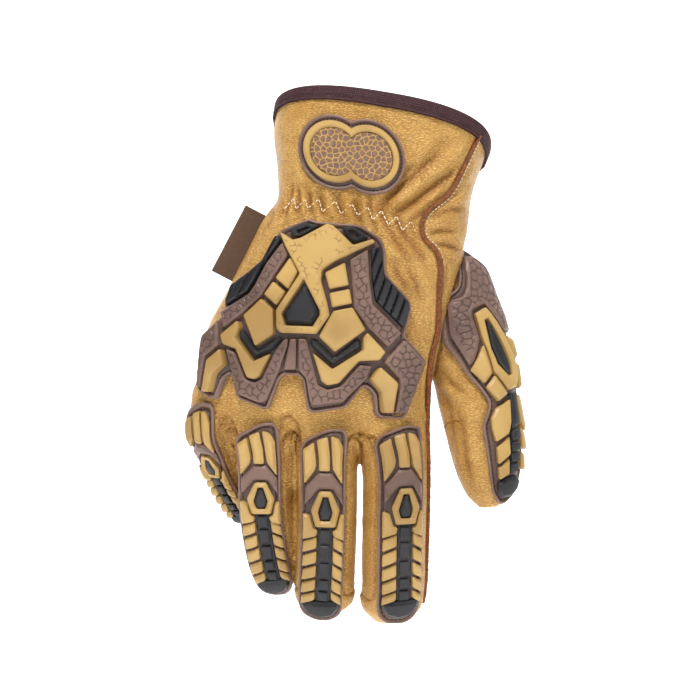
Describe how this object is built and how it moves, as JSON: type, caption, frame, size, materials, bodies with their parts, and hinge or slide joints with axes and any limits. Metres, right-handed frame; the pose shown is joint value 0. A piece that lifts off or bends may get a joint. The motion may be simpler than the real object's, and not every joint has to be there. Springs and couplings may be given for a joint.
{
  "type": "driver glove",
  "caption": "Leather work glove for the right hand, filled out as worn, with moulded guard plates over the knuckles, fingers and thumb and a bound cuff.",
  "frame": {"origin": "centre of the cuff opening, where the wrist goes in", "axes": "+Z out of the cuff along the forearm, so the fingers point to -Z; +X towards the thumb; -Y is the back of the hand"},
  "size_m": [0.1684, 0.0826, 0.271],
  "materials": {
    "leather": "pebbled grain, satin",
    "leather_side": "pebbled grain, satin",
    "binding_tape": "woven tape",
    "suede_edge": "raw suede",
    "moulded_brown": "satin, cobbled",
    "moulded_tan": "satin",
    "moulded_black": "satin"
  },
  "bodies": {
    "root": {"back_panel": "leather", "palm_panel": "leather", "thumb_panel": "leather", "fourchette_index_middle": "leather_side", "fourchette_middle_ring": "leather_side", "fourchette_ring_little": "leather_side", "cuff_binding": "binding_tape", "seam_welt": "suede_edge", "side_tag": "binding_tape", "badge_base": "moulded_brown", "badge_ring": "moulded_tan", "hand_guard_base": "moulded_brown", "keystone_frame": "moulded_tan", "keystone": "moulded_black", "slot_left": "moulded_black", "slot_right": "moulded_black", "wing_left": "moulded_black", "wing_right": "moulded_black", "arm_left": "moulded_brown", "arm_right": "moulded_brown", "quad_left_1": "moulded_tan", "quad_left_2": "moulded_tan", "quad_left_3": "moulded_tan", "quad_right_1": "moulded_tan", "quad_right_2": "moulded_tan", "quad_right_3": "moulded_tan", "chevron_left": "moulded_black", "chevron_right": "moulded_black", "vee_left": "moulded_tan", "vee_right": "moulded_tan", "lobe_left": "moulded_brown", "lobe_right": "moulded_brown", "rib_centre": "moulded_brown", "flank_left": "moulded_brown", "dogleg_left": "moulded_tan", "flank_right": "moulded_brown", "dogleg_right": "moulded_tan", "index_guard_base": "moulded_brown", "index_ridges": "moulded_tan", "index_scales": "moulded_tan", "index_spine": "moulded_black", "middle_guard_base": "moulded_brown", "middle_ridges": "moulded_tan", "middle_scales": "moulded_tan", "middle_spine": "moulded_black", "ring_guard_base": "moulded_brown", "ring_ridges": "moulded_tan", "ring_scales": "moulded_tan", "ring_spine": "moulded_black", "little_guard_base": "moulded_brown", "little_ridges": "moulded_tan", "little_scales": "moulded_tan", "little_spine": "moulded_black", "thumb_guard_base": "moulded_brown", "thumb_ridges": "moulded_tan", "thumb_scales": "moulded_tan", "thumb_spine": "moulded_black"}
  },
  "joints": []
}
